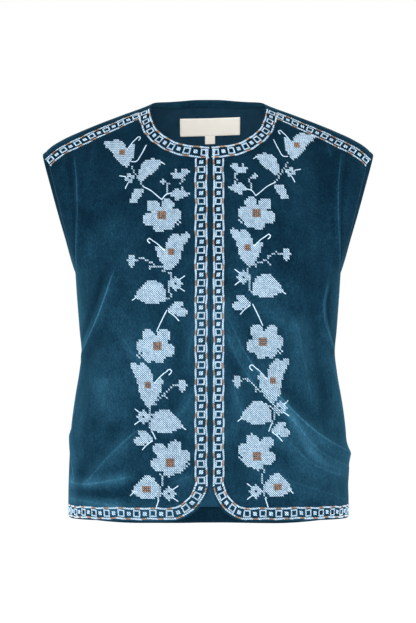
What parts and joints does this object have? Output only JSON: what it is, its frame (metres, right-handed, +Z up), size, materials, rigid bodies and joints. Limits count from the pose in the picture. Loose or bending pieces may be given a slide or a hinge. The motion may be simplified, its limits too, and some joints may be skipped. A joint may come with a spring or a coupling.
{
  "type": "waistcoat",
  "caption": "Boxy round-necked velvet waistcoat with cap shoulders and rounded front corners, filled out as worn and open at neck, arms, front and hem.",
  "frame": {"origin": "middle of the neck opening, at the height of the two neck points, where the wearer's shoulders and neck carry the waistcoat", "axes": "+Z up, -Y out of the front towards the viewer, +X towards the wearer's left side"},
  "size_m": [0.4636, 0.2647, 0.5996],
  "materials": {
    "velvet": "deep teal cotton velvet, with light blue and copper cross-stitch on the fronts",
    "lining": "dark teal turned edges on the inside of the back",
    "label": "cream woven label and size tab, both bare"
  },
  "bodies": {
    "root": {"front_right": "velvet", "front_left": "velvet", "back": "velvet", "back_neck_facing": "lining", "back_hem_facing": "lining", "neck_label": "label", "size_label": "label"}
  },
  "joints": []
}
